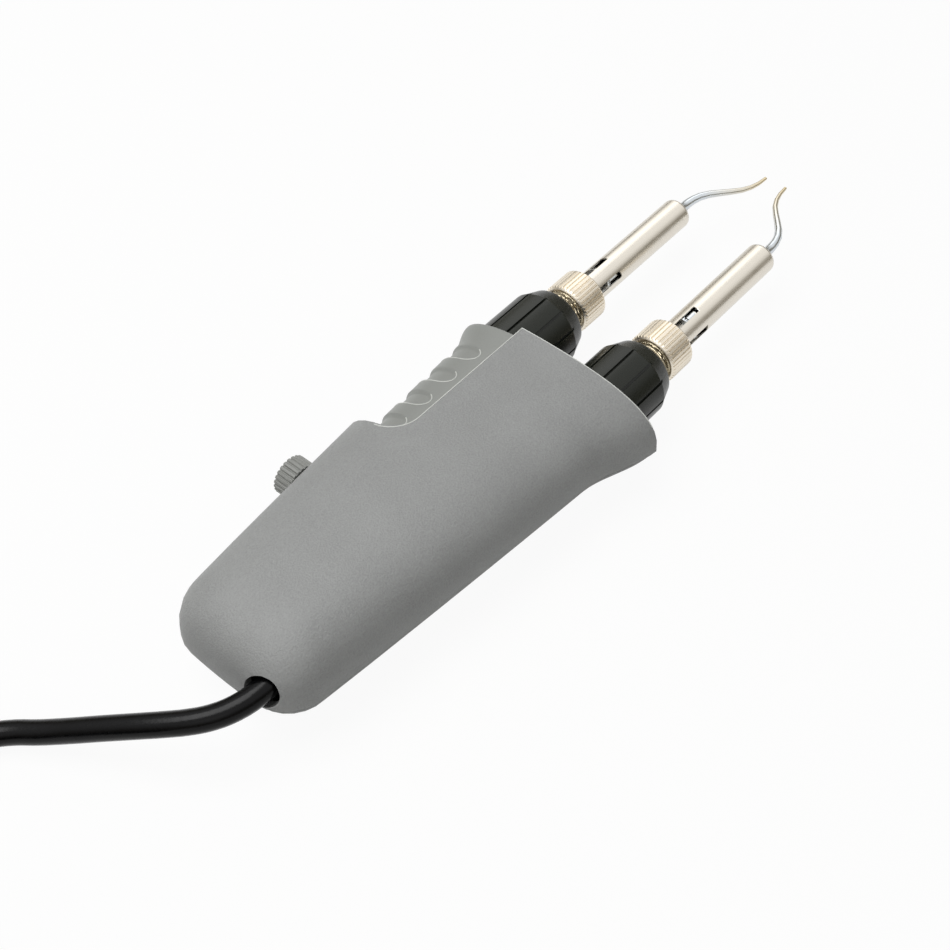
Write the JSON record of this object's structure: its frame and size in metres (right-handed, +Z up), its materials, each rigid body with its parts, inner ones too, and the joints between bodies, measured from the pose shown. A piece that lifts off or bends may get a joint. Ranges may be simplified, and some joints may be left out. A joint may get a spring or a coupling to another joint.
{
  "type": "hot tweezers",
  "caption": "Hand-held heated tweezers: a curved grey housing, a sprung finger lever, parallel heater arms with bent tips, a side knob and a mains cord.",
  "frame": {"origin": "middle of the flat rest face under the housing", "axes": "+X from the tail to the tips, +Y to the lever's side, +Z up through the top shell"},
  "size_m": [0.4443, 0.0794, 0.0297],
  "materials": {
    "housing_plastic": "fine textured grey",
    "lever_plastic": "smooth satin grey",
    "collar_plastic": "satin black",
    "nickel": "nickel plated",
    "tube_steel": "satin",
    "tip_plating": "bright plated",
    "steel": "zinc plated",
    "heater_ceramic": "plain white",
    "knob_plastic": "ribbed grey",
    "pot_case": "moulded",
    "board_laminate": "solder mask",
    "black_plastic": "moulded",
    "sink_aluminium": "extruded",
    "capacitor_case": "dipped",
    "fuse_glass": "ceramic",
    "block_plastic": "moulded",
    "lead_insulation": "silicone",
    "cord_sheath": "smooth"
  },
  "bodies": {
    "housing_body": {"top_shell": "housing_plastic", "bottom_shell": "housing_plastic", "housing_screws": "steel", "pivot_pin": "steel", "return_spring": "steel", "board_screws": "steel", "clip_screw": "steel", "fixed_collar": "collar_plastic", "fixed_nipple": "nickel", "fixed_nut": "nickel", "fixed_tube": "tube_steel", "fixed_heater": "heater_ceramic", "fixed_tip": "tip_plating", "pot_body": "pot_case", "circuit_board": "board_laminate", "triac": "black_plastic", "heat_sink": "sink_aluminium", "film_capacitor": "capacitor_case", "fuse": "fuse_glass", "terminal_block": "block_plastic", "mains_cores": "lead_insulation", "cord_inner": "cord_sheath", "cord_clip": "black_plastic", "fixed_leads": "lead_insulation", "cord_lead": "cord_sheath", "cord_coil": "cord_sheath", "cord_tail": "cord_sheath", "cord_ties": "black_plastic", "plug_body": "cord_sheath", "plug_pins": "nickel"},
    "lever_arm": {"lever": "lever_plastic", "moving_collar": "collar_plastic", "moving_nipple": "nickel", "moving_nut": "nickel", "moving_tube": "tube_steel", "moving_heater": "heater_ceramic", "moving_tip": "tip_plating", "moving_leads": "lead_insulation"},
    "knob_spindle": {"knob": "knob_plastic", "pot_shaft": "steel"}
  },
  "joints": [
    {"name": "lever_hinge", "type": "hinge", "parent": "housing_body", "child": "lever_arm", "pos_m": [0.00702, 0.014, 0.0145], "axis": [0, 0, -1], "range_deg": [0, 2.1], "stiffness_Nm_per_rad": 2.2, "springref_deg": -1.03, "deforming": ["return_spring", "moving_leads"]},
    {"name": "knob_turn", "type": "hinge", "parent": "housing_body", "child": "knob_spindle", "pos_m": [-0.00662, 0.028, 0.0145], "axis": [0, 1, 0], "range_deg": [-140, 140]}
  ]
}
